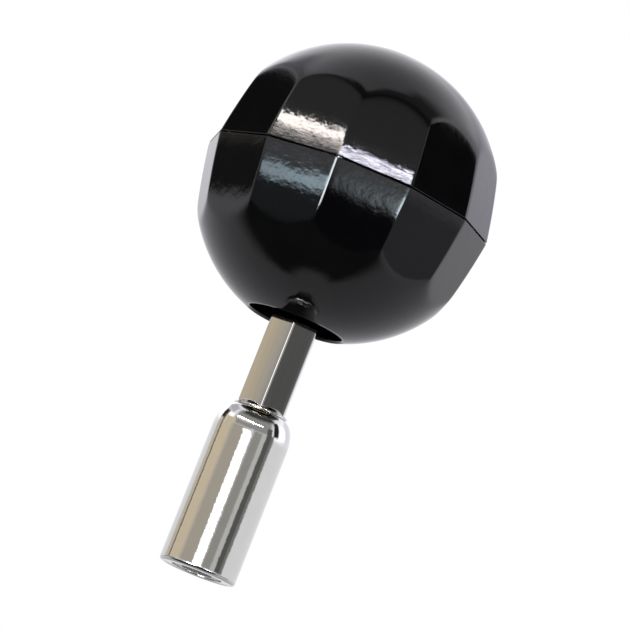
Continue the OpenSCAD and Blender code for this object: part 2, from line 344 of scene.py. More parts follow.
def ring_outline(inner_r, outer_r, low_z, high_z):
    """Outline of a plain ring's section."""
    return [(inner_r, low_z), (outer_r, low_z), (outer_r, high_z), (inner_r, high_z)]


thrust_outline = round_corners(
    ring_outline(journal_r + run_gap, foot_r, thrust_z, thrust_z + thrust_h), [0.05, 0.15, 0.15, 0.05]
)
thrust_washer = turned_piece("thrust_ring", thrust_outline, chrome_plate)
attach(thrust_washer, "ball")
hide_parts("thrust_washer")

# Barrel: a steel tube, turned with a rounded shoulder, ground, polished and chromed. It turns
# freely on the journal, so the hand can hold it while the ball is turned.
barrel_r = 8.1
barrel_l = 34.9
shoulder_h = 5.8
shoulder_w = 2.6
end_edge_r = 0.7
bush_r = 6.6
neck_hole_r = 5.3

barrel_outline = [(bush_r + 0.1, 0)]
for step in range(9):
    turn = math.radians(90 * step / 8)
    barrel_outline.append((
        barrel_r - end_edge_r + end_edge_r * math.sin(turn), end_edge_r - end_edge_r * math.cos(turn),
    ))
for z in (1.0, 2.0, 8.0, 15.0, 22.0, 27.0, 28.6):
    barrel_outline.append((barrel_r, z))
for step in range(33):
    turn = math.radians(88 * step / 32)
    barrel_outline.append((
        barrel_r - shoulder_w + shoulder_w * math.cos(turn),
        barrel_l - shoulder_h + shoulder_h * math.sin(turn),
    ))
barrel_outline += [
    (neck_hole_r + 0.1, barrel_l),
    (neck_hole_r, barrel_l - 0.1),
    (neck_hole_r, barrel_l - shoulder_h),
    (bush_r, barrel_l - shoulder_h),
    (bush_r, 0.1),
]
barrel = turned_piece("barrel_sleeve", barrel_outline, chrome_plate, 192)
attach(barrel, "grip")
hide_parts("barrel")

# Bushes: two alike, pressed into the barrel at its ends. Sintered bronze is dull brown-gold, with
# fine dark pores that hold the oil.
bush_l = 8.0
upper_bush_z = 21.1
lower_bush_z = 5.19

sintered_bronze, tree, bronze, place = start_material("oil-filled sintered bronze")
pores = add_node(tree, "ShaderNodeTexVoronoi", {"Vector": place, "Scale": grain_per(0.35)})
pore_share = add_node(tree, "ShaderNodeMapRange", {
    "Value": pores.outputs["Distance"], "From Min": 0.05, "From Max": 0.3, "To Min": 0.0, "To Max": 1.0,
})
bronze_tint = add_node(tree, "ShaderNodeMix", {
    "Factor": pore_share.outputs["Result"],
    "A": hex_to_linear("#5E4322"),
    "B": hex_to_linear("#B78A4B"),
}, data_type="RGBA")
pore_bump = add_node(tree, "ShaderNodeBump", {
    "Height": pore_share.outputs["Result"], "Strength": 1.0, "Distance": 0.02 * MM,
})
tree.links.new(bronze_tint.outputs["Result"], bronze.inputs["Base Color"])
tree.links.new(pore_bump.outputs["Normal"], bronze.inputs["Normal"])
bronze.inputs["Metallic"].default_value = 1.0
bronze.inputs["Roughness"].default_value = 0.42

for name, z, node in (
    ("bearing_bush_upper", upper_bush_z, "upper_bush"),
    ("bearing_bush_lower", lower_bush_z, "lower_bush"),
):
    bush_outline = round_corners(ring_outline(journal_r + run_gap, bush_r - 0.005, z, z + bush_l), 0.3)
    bush = turned_piece(name, bush_outline, sintered_bronze)
    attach(bush, "grip")
    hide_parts(node)

# Spacer tube: a length of thin drawn aluminium tube that keeps the bushes apart in the barrel.
# Drawing leaves fine lines along it.
spacer_wall = 0.9

drawn_aluminium, tree, aluminium, place = start_material("drawn aluminium tube")
draw_lines = add_node(tree, "ShaderNodeMapping", {"Vector": place, "Scale": (1.0, 1.0, 0.02)})
draw_noise = add_node(tree, "ShaderNodeTexNoise", {
    "Vector": draw_lines.outputs["Vector"], "Scale": grain_per(0.15), "Detail": 2.0,
})
draw_tint = add_node(tree, "ShaderNodeMix", {
    "Factor": draw_noise.outputs["Fac"],
    "A": hex_to_linear("#B9BBBD"),
    "B": hex_to_linear("#D5D7D8"),
}, data_type="RGBA")
draw_haze = add_node(tree, "ShaderNodeMapRange", {
    "Value": draw_noise.outputs["Fac"], "To Min": 0.22, "To Max": 0.38,
})
tree.links.new(draw_tint.outputs["Result"], aluminium.inputs["Base Color"])
tree.links.new(draw_haze.outputs["Result"], aluminium.inputs["Roughness"])
aluminium.inputs["Metallic"].default_value = 1.0

spacer_outline = round_corners(
    ring_outline(bush_r - spacer_wall, bush_r - 0.005, lower_bush_z + bush_l, upper_bush_z), 0.1
)
spacer = turned_piece("bush_spacer", spacer_outline, drawn_aluminium)
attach(spacer, "grip")
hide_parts("spacer_tube")

# Drive socket: hardened steel, pinned to the spindle's spigot, with a broached hexagon recess for
# a driver. Oil on the scale left by hardening gives a light satin grey, less mirror-like than plate.
hardened_steel, tree, hard_steel, place = start_material("hardened and oiled steel")
temper = add_node(tree, "ShaderNodeTexNoise", {"Vector": place, "Scale": grain_per(1.5), "Detail": 4.0})
temper_tint = add_node(tree, "ShaderNodeMix", {
    "Factor": temper.outputs["Fac"],
    "A": hex_to_linear("#A2A29E"),
    "B": hex_to_linear("#B8B8B4"),
}, data_type="RGBA")
temper_haze = add_node(tree, "ShaderNodeMapRange", {
    "Value": temper.outputs["Fac"], "To Min": 0.22, "To Max": 0.4,
})
broach_bump = add_node(tree, "ShaderNodeBump", {
    "Height": temper.outputs["Fac"], "Strength": 1.0, "Distance": 0.001 * MM,
})
tree.links.new(temper_tint.outputs["Result"], hard_steel.inputs["Base Color"])
tree.links.new(temper_haze.outputs["Result"], hard_steel.inputs["Roughness"])
tree.links.new(broach_bump.outputs["Normal"], hard_steel.inputs["Normal"])
hard_steel.inputs["Metallic"].default_value = 0.6


def finish_cad_piece(node, material, edge_mm):
    """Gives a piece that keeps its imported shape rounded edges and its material."""
    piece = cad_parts[node]
    piece.data.materials.clear()
    piece.data.materials.append(material)
    weld = piece.modifiers.new("one skin", "WELD")
    weld.merge_threshold = 0.002 * MM
    edge = piece.modifiers.new("broken edges", "BEVEL")
    edge.width = edge_mm * MM
    edge.segments = 3
    edge.limit_method = "ANGLE"
    edge.angle_limit = math.radians(35)
    keep_flats_flat(piece)
    return piece


finish_cad_piece("drive_socket", hardened_steel, 0.12)

# Socket pin: a ground steel pin pressed across the socket and the spigot. Centreless grinding
# leaves a fine, even satin with rings round the pin.
ground_steel, tree, bright_steel, place = start_material("centreless-ground steel")
grind_marks = add_node(tree, "ShaderNodeTexNoise", {
    "Vector": place, "Scale": grain_per(0.12), "Detail": 3.0,
})
grind_tint = add_node(tree, "ShaderNodeMix", {
    "Factor": grind_marks.outputs["Fac"],
    "A": hex_to_linear("#A5A6A8"),
    "B": hex_to_linear("#C8C9CB"),
}, data_type="RGBA")
grind_haze = add_node(tree, "ShaderNodeMapRange", {
    "Value": grind_marks.outputs["Fac"], "To Min": 0.14, "To Max": 0.26,
})
tree.links.new(grind_tint.outputs["Result"], bright_steel.inputs["Base Color"])
tree.links.new(grind_haze.outputs["Result"], bright_steel.inputs["Roughness"])
bright_steel.inputs["Metallic"].default_value = 1.0
finish_cad_piece("socket_pin", ground_steel, 0.15)

# Bit clip and circlip: spring steel, the one an open wire ring in the hexagon recess, the other
# stamped with two eyes at its mouth. Heat treatment in oil leaves both almost black.
spring_steel, tree, dark_spring, place = start_material("oil-tempered spring steel")
scale_noise = add_node(tree, "ShaderNodeTexNoise", {
    "Vector": place, "Scale": grain_per(0.5), "Detail": 4.0,
})
scale_tint = add_node(tree, "ShaderNodeMix", {
    "Factor": scale_noise.outputs["Fac"],
    "A": hex_to_linear("#26272B"),
    "B": hex_to_linear("#4A4B50"),
}, data_type="RGBA")
scale_haze = add_node(tree, "ShaderNodeMapRange", {
    "Value": scale_noise.outputs["Fac"], "To Min": 0.3, "To Max": 0.5,
})
tree.links.new(scale_tint.outputs["Result"], dark_spring.inputs["Base Color"])
tree.links.new(scale_haze.outputs["Result"], dark_spring.inputs["Roughness"])
dark_spring.inputs["Metallic"].default_value = 1.0
finish_cad_piece("bit_clip", spring_steel, 0.03)
finish_cad_piece("circlip", spring_steel, 0.1)

# Backing washer: zinc-plated steel between the circlip and the lower bush. Bright zinc has a faint
# blue cast and a soft, slightly mottled shine.
backing_z = 4.33
backing_h = 0.8

zinc_plate, tree, zinc, place = start_material("bright zinc plate")
zinc_mottle = add_node(tree, "ShaderNodeTexNoise", {
    "Vector": place, "Scale": grain_per(1.2), "Detail": 4.0,
})
zinc_tint = add_node(tree, "ShaderNodeMix", {
    "Factor": zinc_mottle.outputs["Fac"],
    "A": hex_to_linear("#A9AFB8"),
    "B": hex_to_linear("#CDD1D6"),
}, data_type="RGBA")
zinc_haze = add_node(tree, "ShaderNodeMapRange", {
    "Value": zinc_mottle.outputs["Fac"], "To Min": 0.2, "To Max": 0.42,
})
zinc_bump = add_node(tree, "ShaderNodeBump", {
    "Height": zinc_mottle.outputs["Fac"], "Strength": 1.0, "Distance": 0.008 * MM,
})
tree.links.new(zinc_tint.outputs["Result"], zinc.inputs["Base Color"])
tree.links.new(zinc_haze.outputs["Result"], zinc.inputs["Roughness"])
tree.links.new(zinc_bump.outputs["Normal"], zinc.inputs["Normal"])
zinc.inputs["Metallic"].default_value = 1.0

backing_outline = round_corners(
    ring_outline(journal_r + run_gap, bush_r - 0.3, backing_z, backing_z + backing_h), 0.12
)
backing_washer = turned_piece("barrel_washer", backing_outline, zinc_plate)
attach(backing_washer, "ball")
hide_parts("backing_washer")

# End ring: a chromed steel ring pressed into the barrel's end after the circlip is on. Its face
# is flush with the barrel's, with a fine line where the two meet.
end_ring_r = 5.4
end_ring_z = 0.05
end_ring_h = 2.6

end_outline = round_corners(
    ring_outline(end_ring_r, bush_r - 0.005, end_ring_z, end_ring_z + end_ring_h), [0.25, 0.08, 0.1, 0.1]
)
end_ring = turned_piece("end_cap_ring", end_outline, chrome_plate)
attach(end_ring, "grip")
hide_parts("end_ring")

# Rubber rings: moulded nitrile cord rings. One closes the gap at the barrel's end, the other
# sits in the joining ring's groove, and its grip holds the ball's upper half on.
dust_r = 4.95
dust_z = 1.95
dust_section_r = 0.38
seal_z = ball_z + 2.7
seal_r = 25.3
seal_section_r = 0.68

nitrile, tree, rubber, place = start_material("moulded nitrile rubber")
bloom = add_node(tree, "ShaderNodeTexNoise", {"Vector": place, "Scale": grain_per(1.0), "Detail": 5.0})
bloom_tint = add_node(tree, "ShaderNodeMix", {
    "Factor": bloom.outputs["Fac"],
    "A": hex_to_linear("#0E0E0F"),
    "B": hex_to_linear("#1D1D1E"),
}, data_type="RGBA")
bloom_haze = add_node(tree, "ShaderNodeMapRange", {
    "Value": bloom.outputs["Fac"], "To Min": 0.5, "To Max": 0.72,
})
rubber_bump = add_node(tree, "ShaderNodeBump", {
    "Height": bloom.outputs["Fac"], "Strength": 1.0, "Distance": 0.01 * MM,
})
tree.links.new(bloom_tint.outputs["Result"], rubber.inputs["Base Color"])
tree.links.new(bloom_haze.outputs["Result"], rubber.inputs["Roughness"])
tree.links.new(rubber_bump.outputs["Normal"], rubber.inputs["Normal"])

for name, node, centre_r, z, section_r in (
    ("rubber_dust_ring", "dust_ring", dust_r, dust_z, dust_section_r),
    ("rubber_seal_ring", "seal_ring", seal_r, seal_z, seal_section_r),
):
    cord_outline = []
    for step in range(24):
        turn = 2 * math.pi * step / 24
        flash = 1.0 - 0.03 * abs(math.cos(turn)) ** 40
        cord_outline.append((
            centre_r + section_r * flash * math.cos(turn), z + section_r * flash * math.sin(turn),
        ))
    ring = turned_piece(name, cord_outline, nitrile, 144)
    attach(ring, "ball")
    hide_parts(node)

# Ball halves: compression moulded in black phenolic, then buffed. Each has twelve slightly bowed
# grip faces at the seam, and the two faces of a pair meet at the open seam line.
ball_r = 31.0
wall = 5.4
cavity_r = ball_r - wall
belt_corner_r = 30.6
belt_sides = 12
belt_turn = math.radians(-5)
belt_lean = math.radians(8.5)
belt_bow_r = 150.0
seam_half = 0.175
seam_lip_r = 0.09
belt_edge_softness = 0.08
crown_edge_softness = 0.14
mouth_r = 10.0
mouth_lip_r = 0.45
shelf_top = -7.0
shelf_h = 5.0
shelf_bore_r = 9.0
ring_seat_r = 26.0
ring_half_h = 5.0
boss_r = 6.0
boss_bottom = 13.3
columns_per_face = 32
skin_rows = 104


def skin_reach(turn, rise):
    """Distance from the ball's centre to its skin; rise is the angle away from the seam."""
    face_turn = 2 * math.pi / belt_sides
    nearest = np.floor((turn - belt_turn) / face_turn)
    bow_x = belt_corner_r * math.cos(face_turn / 2) - belt_bow_r * math.cos(belt_lean)
    bow_z = -belt_bow_r * math.sin(belt_lean)
    total = 0 * turn
    for beside in (-1, 0, 1):
        face = belt_turn + (nearest + 0.5 + beside) * face_turn
        out = np.cos(rise) * np.cos(turn - face)
        up = np.sin(rise)
        a = out**2 + up**2
        b = out * bow_x + up * bow_z
        reach = (b + np.sqrt(b**2 - a * (bow_x**2 + bow_z**2 - belt_bow_r**2))) / a
        total = total + np.exp(-(np.minimum(reach, 32.5) - 30.5) / belt_edge_softness)
    faces = 30.5 - belt_edge_softness * np.log(total)
    both = np.exp(-(faces - 30.5) / crown_edge_softness) + np.exp(-(ball_r - 30.5) / crown_edge_softness)
    return 30.5 - crown_edge_softness * np.log(both)


face_share = np.arange(columns_per_face) / columns_per_face
face_share = face_share - 0.13 * np.sin(2 * np.pi * face_share)
column_turns = np.concatenate([
    belt_turn + (k + face_share) * 2 * math.pi / belt_sides for k in range(belt_sides)
])


def skin_outline_rows(last_rise):
    """Rows of radius and height of a half ball's outside, from the seam's lip to last_rise."""
    rows = []
    lip_rise = math.asin((seam_half + seam_lip_r) / 30.2) + 0 * column_turns
    lip_r = skin_reach(column_turns, lip_rise) * np.cos(lip_rise)
    for step in range(6):
        turn = math.radians(90 - 18 * step)
        rows.append((
            lip_r - seam_lip_r + seam_lip_r * math.cos(turn),
            seam_half + seam_lip_r - seam_lip_r * math.sin(turn) + 0 * lip_r,
        ))
    first_rise = float(lip_rise[0]) + math.radians(0.15)
    for step in range(skin_rows + 1):
        share = step / skin_rows
        rise = first_rise + (last_rise - first_rise) * (0.25 * share + 0.75 * share * (0.35 + 0.65 * share))
        reach = skin_reach(column_turns, rise + 0 * column_turns)
        rows.append((reach * math.cos(rise), reach * math.sin(rise)))
    return rows


def half_ball(name, side, rows, loop, material):
    """One half of the ball from rows of radius and height; side is 1 above the seam, -1 below."""
    points = []
    numbers = []
    for r, z in rows:
        r = r + 0 * column_turns
        z = z + 0 * column_turns
        count = 1 if float(np.max(np.abs(r))) < 1e-6 else len(column_turns)
        numbers.append(list(range(len(points), len(points) + count)))
        for k in range(count):
            points.append((
                float(r[k]) * math.cos(column_turns[k]),
                float(r[k]) * math.sin(column_turns[k]),
                ball_z + side * float(z[k]),
            ))
    return mesh_piece(name, points, join_rows(numbers, loop), material)


# Buffed black phenolic: deep glossy black. Its skin has the slight orange peel of a moulding, and
# beside the seam fine scuffs from handling run round the ball, dulling the gloss.
phenolic, tree, moulding, place = start_material("buffed black phenolic moulding")
peel = add_node(tree, "ShaderNodeTexNoise", {"Vector": place, "Scale": grain_per(1.1), "Detail": 1.5})
swell = add_node(tree, "ShaderNodeTexNoise", {"Vector": place, "Scale": grain_per(6.0), "Detail": 1.0})
scuff_stretch = add_node(tree, "ShaderNodeMapping", {"Vector": place, "Scale": (0.025, 0.025, 1.0)})
scuffs = add_node(tree, "ShaderNodeTexNoise", {
    "Vector": scuff_stretch.outputs["Vector"], "Scale": grain_per(0.18), "Detail": 3.0, "Roughness": 0.7,
})
height = add_node(tree, "ShaderNodeSeparateXYZ", {"Vector": place})
from_seam = add_node(tree, "ShaderNodeMath", {
    0: height.outputs["Z"], 1: ball_z * MM,
}, operation="SUBTRACT")
seam_distance = add_node(tree, "ShaderNodeMath", {0: from_seam.outputs["Value"]}, operation="ABSOLUTE")
scuff_zone = add_node(tree, "ShaderNodeMapRange", {
    "Value": seam_distance.outputs["Value"],
    "From Min": 1.2 * MM,
    "From Max": 4.5 * MM,
    "To Min": 1.0,
    "To Max": 0.08,
}, interpolation_type="SMOOTHSTEP")
scuff_amount = add_node(tree, "ShaderNodeMath", {
    0: scuffs.outputs["Fac"], 1: scuff_zone.outputs["Result"],
}, operation="MULTIPLY")
peel_bump = add_node(tree, "ShaderNodeBump", {
    "Height": peel.outputs["Fac"], "Strength": 1.0, "Distance": 0.009 * MM,
})
swell_bump = add_node(tree, "ShaderNodeBump", {
    "Height": swell.outputs["Fac"],
    "Strength": 1.0,
    "Distance": 0.03 * MM,
    "Normal": peel_bump.outputs["Normal"],
})
scuff_bump = add_node(tree, "ShaderNodeBump", {
    "Height": scuff_amount.outputs["Value"],
    "Strength": 1.0,
    "Distance": 0.006 * MM,
    "Normal": swell_bump.outputs["Normal"],
})
gloss = add_node(tree, "ShaderNodeMapRange", {
    "Value": scuff_amount.outputs["Value"],
    "From Min": 0.25,
    "From Max": 0.75,
    "To Min": 0.045,
    "To Max": 0.11,
})
moulding_tint = add_node(tree, "ShaderNodeMix", {
    "Factor": swell.outputs["Fac"],
    "A": hex_to_linear("#020203"),
    "B": hex_to_linear("#060607"),
}, data_type="RGBA")
tree.links.new(moulding_tint.outputs["Result"], moulding.inputs["Base Color"])
tree.links.new(gloss.outputs["Result"], moulding.inputs["Roughness"])
tree.links.new(scuff_bump.outputs["Normal"], moulding.inputs["Normal"])
moulding.inputs["IOR"].default_value = 1.5

mouth_rise = math.acos((mouth_r + mouth_lip_r) / ball_r)
mouth_z = math.sqrt(ball_r**2 - (mouth_r + mouth_lip_r) ** 2)
shelf_top_r = math.sqrt(cavity_r**2 - shelf_top**2)
shelf_low = shelf_h - shelf_top
shelf_low_r = math.sqrt(cavity_r**2 - shelf_low**2)
lower_rows = skin_outline_rows(mouth_rise)
for step in range(1, 6):
    turn = math.radians(18 * step)
    lower_rows.append((
        mouth_r + mouth_lip_r - mouth_lip_r * math.sin(turn),
        mouth_z - 0.1 * math.sin(turn) - mouth_lip_r * (1 - math.cos(turn)),
    ))
lower_rows.append((mouth_r, math.sqrt(cavity_r**2 - mouth_r**2) + 0.3))
lower_rows.append((mouth_r + 0.3, math.sqrt(cavity_r**2 - mouth_r**2)))
for step in range(12):
    rise = math.acos(mouth_r / cavity_r) - 0.02
    rise = rise + (math.asin(shelf_low / cavity_r) + 0.015 - rise) * step / 11
    lower_rows.append((cavity_r * math.cos(rise), cavity_r * math.sin(rise)))
lower_rows += [
    (shelf_low_r - 0.3, shelf_low),
    (shelf_bore_r + 0.3, shelf_low),
    (shelf_bore_r, shelf_low - 0.3),
    (shelf_bore_r, -shelf_top + 0.3),
    (shelf_bore_r + 0.3, -shelf_top),
    (shelf_top_r - 0.3, -shelf_top),
    (shelf_top_r + 0.1, -shelf_top - 0.4),
    (math.sqrt(cavity_r**2 - ring_half_h**2), ring_half_h),
    (ring_seat_r - 0.2, ring_half_h),
    (ring_seat_r, ring_half_h - 0.2),
    (ring_seat_r, seam_half + 0.2),
    (ring_seat_r + 0.2, seam_half),
]
lower_half = half_ball("ball_lower_half", -1, lower_rows, True, phenolic)
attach(lower_half, "ball")
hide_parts("lower_shell")

# Joining ring: turned aluminium, anodised black, cemented into the lower half. Its four notches
# take a tool for fitting it. The anodic film is a matt charcoal over fine turning rings.
anodised, tree, anodic, place = start_material("black anodised turned aluminium")
turning = add_node(tree, "ShaderNodeMapping", {"Vector": place, "Scale": (0.03, 0.03, 1.0)})
turning_noise = add_node(tree, "ShaderNodeTexNoise", {
    "Vector": turning.outputs["Vector"], "Scale": grain_per(0.15), "Detail": 2.0,
})
anodic_tint = add_node(tree, "ShaderNodeMix", {
    "Factor": turning_noise.outputs["Fac"],
    "A": hex_to_linear("#2B2D30"),
    "B": hex_to_linear("#43464B"),
}, data_type="RGBA")
anodic_haze = add_node(tree, "ShaderNodeMapRange", {
    "Value": turning_noise.outputs["Fac"], "To Min": 0.34, "To Max": 0.52,
})
turning_bump = add_node(tree, "ShaderNodeBump", {
    "Height": turning_noise.outputs["Fac"], "Strength": 1.0, "Distance": 0.008 * MM,
})
tree.links.new(anodic_tint.outputs["Result"], anodic.inputs["Base Color"])
tree.links.new(anodic_haze.outputs["Result"], anodic.inputs["Roughness"])
tree.links.new(turning_bump.outputs["Normal"], anodic.inputs["Normal"])
anodic.inputs["Metallic"].default_value = 0.8
finish_cad_piece("joining_ring", anodised, 0.2)

# Locating dowels: four ground steel pins across the seam, pressed into the lower half, that keep
# the grip faces of the two halves in line.
finish_cad_piece("locating_dowels", ground_steel, 0.2)

# Hub: a flanged brass boss with a hexagon pocket, screwed to the lower half's shelf. Turned brass
# is warm yellow, with fine rings round its axis.
turned_brass, tree, brass, place = start_material("turned brass")
lathe_rings = add_node(tree, "ShaderNodeSeparateXYZ", {"Vector": place})
lathe_flat = add_node(tree, "ShaderNodeCombineXYZ", {
    "X": lathe_rings.outputs["X"], "Y": lathe_rings.outputs["Y"],
})
lathe_radius = add_node(tree, "ShaderNodeVectorMath", {
    0: lathe_flat.outputs["Vector"],
}, operation="LENGTH")
lathe_place = add_node(tree, "ShaderNodeCombineXYZ", {
    "X": lathe_radius.outputs["Value"], "Y": lathe_rings.outputs["Z"],
})
lathe_noise = add_node(tree, "ShaderNodeTexNoise", {
    "Vector": lathe_place.outputs["Vector"], "Scale": grain_per(0.2), "Detail": 2.0,
})
brass_tint = add_node(tree, "ShaderNodeMix", {
    "Factor": lathe_noise.outputs["Fac"],
    "A": hex_to_linear("#B08A3E"),
    "B": hex_to_linear("#DDBB6C"),
}, data_type="RGBA")
brass_haze = add_node(tree, "ShaderNodeMapRange", {
    "Value": lathe_noise.outputs["Fac"], "To Min": 0.16, "To Max": 0.34,
})
brass_bump = add_node(tree, "ShaderNodeBump", {
    "Height": lathe_noise.outputs["Fac"], "Strength": 1.0, "Distance": 0.006 * MM,
})
tree.links.new(brass_tint.outputs["Result"], brass.inputs["Base Color"])
tree.links.new(brass_haze.outputs["Result"], brass.inputs["Roughness"])
tree.links.new(brass_bump.outputs["Normal"], brass.inputs["Normal"])
brass.inputs["Metallic"].default_value = 1.0
finish_cad_piece("hub", turned_brass, 0.25)

# Hub screws and spring washer: hardened steel with a black oxide finish, which is a deep,
# slightly brown black with a soft oiled sheen.
black_oxide, tree, oxide, place = start_material("black oxide on hardened steel")
oxide_noise = add_node(tree, "ShaderNodeTexNoise", {
    "Vector": place, "Scale": grain_per(0.6), "Detail": 4.0,
})
oxide_tint = add_node(tree, "ShaderNodeMix", {
    "Factor": oxide_noise.outputs["Fac"],
    "A": hex_to_linear("#1E1D1C"),
    "B": hex_to_linear("#3A3937"),
}, data_type="RGBA")
oxide_haze = add_node(tree, "ShaderNodeMapRange", {
    "Value": oxide_noise.outputs["Fac"], "To Min": 0.28, "To Max": 0.45,
})
tree.links.new(oxide_tint.outputs["Result"], oxide.inputs["Base Color"])
tree.links.new(oxide_haze.outputs["Result"], oxide.inputs["Roughness"])
oxide.inputs["Metallic"].default_value = 1.0
finish_cad_piece("hub_screws", black_oxide, 0.15)
finish_cad_piece("spring_washer", black_oxide, 0.15)

# Plain washer and nut: zinc-plated steel. They clamp the hub against the end of the hexagon bar.
washer_z = 82.8
washer_h = 1.6
washer_r = 8.0
washer_hole_r = 4.2

washer_outline = round_corners(
    ring_outline(washer_hole_r, washer_r, washer_z, washer_z + washer_h), [0.15, 0.3, 0.12, 0.15]
)
spindle_washer = turned_piece("plain_washer", washer_outline, zinc_plate)
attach(spindle_washer, "ball")
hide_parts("spindle_washer")
finish_cad_piece("spindle_nut", zinc_plate, 0.3)

# Upper half: the same moulding as the lower half with a closed pole. Inside it has a centre boss
# over the load pad, and three stiffening bars cross under the crown.
rib_reach = 17.0
rib_half_w = 1.0
rib_bottom = 16.0
rib_edge = 0.25

upper_rows = skin_outline_rows(math.radians(89.7))
upper_rows.append((0, ball_r))
upper_rows += [
    (0, boss_bottom),
    (boss_r - 0.3, boss_bottom),
    (boss_r - 0.06, boss_bottom + 0.1),
    (boss_r, boss_bottom + 0.3),
    (boss_r, math.sqrt(cavity_r**2 - boss_r**2) - 0.5),
    (boss_r + 0.4, math.sqrt(cavity_r**2 - (boss_r + 0.4) ** 2)),
]
for step in range(24):
    rise = math.acos((boss_r + 0.8) / cavity_r)
    rise = rise + (math.asin((ring_half_h + 0.03) / cavity_r) - rise) * step / 23
    upper_rows.append((cavity_r * math.cos(rise), cavity_r * math.sin(rise)))
upper_rows += [
    (ring_seat_r - 0.15, ring_half_h + 0.03),
    (ring_seat_r + run_gap, ring_half_h - 0.2),
    (ring_seat_r + run_gap, seam_half + 0.5),
    (ring_seat_r + run_gap + 0.3, seam_half),
]
upper_half = half_ball("ball_upper_half", 1, upper_rows, True, phenolic)
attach(upper_half, "cap")
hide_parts("upper_shell")

# Stiffening bars: moulded in one with the upper half, under its crown, so they share its
# material. Their edges are rounded, as a mould's are, and their ends run into the wall.
for k in range(3):
    bar_outline = [(-rib_reach, rib_bottom)]
    for step in range(25):
        x = rib_reach * (2 * step / 24 - 1)
        bar_outline.append((-x, math.sqrt((cavity_r + 1) ** 2 - x**2)))
    bar_outline = round_corners(
        [(rib_reach, rib_bottom), *bar_outline[1:], (-rib_reach, rib_bottom)], 0.2, 2
    )
    bar_points = []
    bar_rows = []
    for y, inset in (
        (-rib_half_w, rib_edge), (-rib_half_w + 0.08, 0.08), (-rib_half_w + rib_edge, 0),
        (rib_half_w - rib_edge, 0), (rib_half_w - 0.08, 0.08), (rib_half_w, rib_edge),
    ):
        bar_rows.append(list(range(len(bar_points), len(bar_points) + len(bar_outline))))
        turn = math.radians(60 * k)
        for x, z in bar_outline:
            x = x - math.copysign(min(inset, abs(x)), x)
            z = z + inset if z < rib_bottom + 1 else z - inset
            bar_points.append((
                x * math.cos(turn) - y * math.sin(turn),
                x * math.sin(turn) + y * math.cos(turn),
                ball_z + z,
            ))
    bar_faces = join_rows(bar_rows, False)
    bar_faces.append(tuple(reversed(bar_rows[0])))
    bar_faces.append(tuple(bar_rows[-1]))
    bar = mesh_piece(f"crown_bar_{k + 1}", bar_points, bar_faces, phenolic)
    keep_flats_flat(bar)
    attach(bar, "cap")

# Load pad: a disc punched from red-brown vulcanised fibre, under the boss. Through it a push on
# the pole reaches the spindle's end. The fibre is dull, with a close felted mottle.
pad_r = 5.2
pad_z = 95.1
pad_h = 2.0

vulcanised_fibre, tree, fibre, place = start_material("vulcanised fibre")
felt = add_node(tree, "ShaderNodeTexNoise", {"Vector": place, "Scale": grain_per(0.5), "Detail": 6.0})
fibre_tint = add_node(tree, "ShaderNodeMix", {
    "Factor": felt.outputs["Fac"],
    "A": hex_to_linear("#4A2A20"),
    "B": hex_to_linear("#6E4434"),
}, data_type="RGBA")
felt_bump = add_node(tree, "ShaderNodeBump", {
    "Height": felt.outputs["Fac"], "Strength": 1.0, "Distance": 0.02 * MM,
})
tree.links.new(fibre_tint.outputs["Result"], fibre.inputs["Base Color"])
tree.links.new(felt_bump.outputs["Normal"], fibre.inputs["Normal"])
fibre.inputs["Roughness"].default_value = 0.62

pad_section = [(0.0, pad_z), (pad_r - 0.25, pad_z), (pad_r - 0.06, pad_z + 0.07), (pad_r, pad_z + 0.25)]
pad_section += [(r, 2 * pad_z + pad_h - z) for r, z in reversed(pad_section)]
pad_points = []
pad_rows = []
for r, z in pad_section:
    pad_rows.append(list(range(len(pad_points), len(pad_points) + (72 if r else 1))))
    for number in range(72 if r else 1):
        turn = 2 * math.pi * number / 72
        pad_points.append((r * math.cos(turn), r * math.sin(turn), z))
load_pad = mesh_piece("fibre_pad", pad_points, join_rows(pad_rows, False), vulcanised_fibre)
keep_flats_flat(load_pad)
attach(load_pad, "cap")
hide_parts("load_pad")

# Floor: a plain pale sheet well below the tool, which a hand holds in use.
floor_z = -0.13
floor_half = 4.0

pale_sheet, tree, sheet, place = start_material("matt white paper sheet")
paper_tooth = add_node(tree, "ShaderNodeTexNoise", {
    "Vector": place, "Scale": grain_per(1.5), "Detail": 4.0,
})
paper_tint = add_node(tree, "ShaderNodeMix", {
    "Factor": paper_tooth.outputs["Fac"],
    "A": hex_to_linear("#E9E9E8"),
    "B": hex_to_linear("#F1F1F0"),
}, data_type="RGBA")
paper_bump = add_node(tree, "ShaderNodeBump", {
    "Height": paper_tooth.outputs["Fac"], "Strength": 0.3, "Distance": 0.05 * MM,
})
tree.links.new(paper_tint.outputs["Result"], sheet.inputs["Base Color"])
tree.links.new(paper_bump.outputs["Normal"], sheet.inputs["Normal"])
sheet.inputs["Roughness"].default_value = 0.9
floor_points = [
    (x * floor_half / MM, y * floor_half / MM, floor_z / MM) for x, y in ((-1, -1), (1, -1), (1, 1), (-1, 1))
]
floor = mesh_piece("floor_sheet", floor_points, [(0, 1, 2, 3)], pale_sheet)
floor.visible_glossy = False

# Overhead light: one large soft box that gives the floor its soft shadow.
overhead_data = bpy.data.lights.new("overhead softbox", "AREA")
overhead_data.shape = "RECTANGLE"
overhead_data.size = 1.6
overhead_data.size_y = 1.2
overhead_data.energy = 14.0
overhead = bpy.data.objects.new("overhead softbox", overhead_data)
bpy.context.scene.collection.objects.link(overhead)
overhead.location = (-0.3, -0.4, 1.5)
overhead.rotation_euler = (Vector((0, 0, 0.05)) - overhead.location).to_track_quat("-Z", "Y").to_euler()
overhead.visible_glossy = False

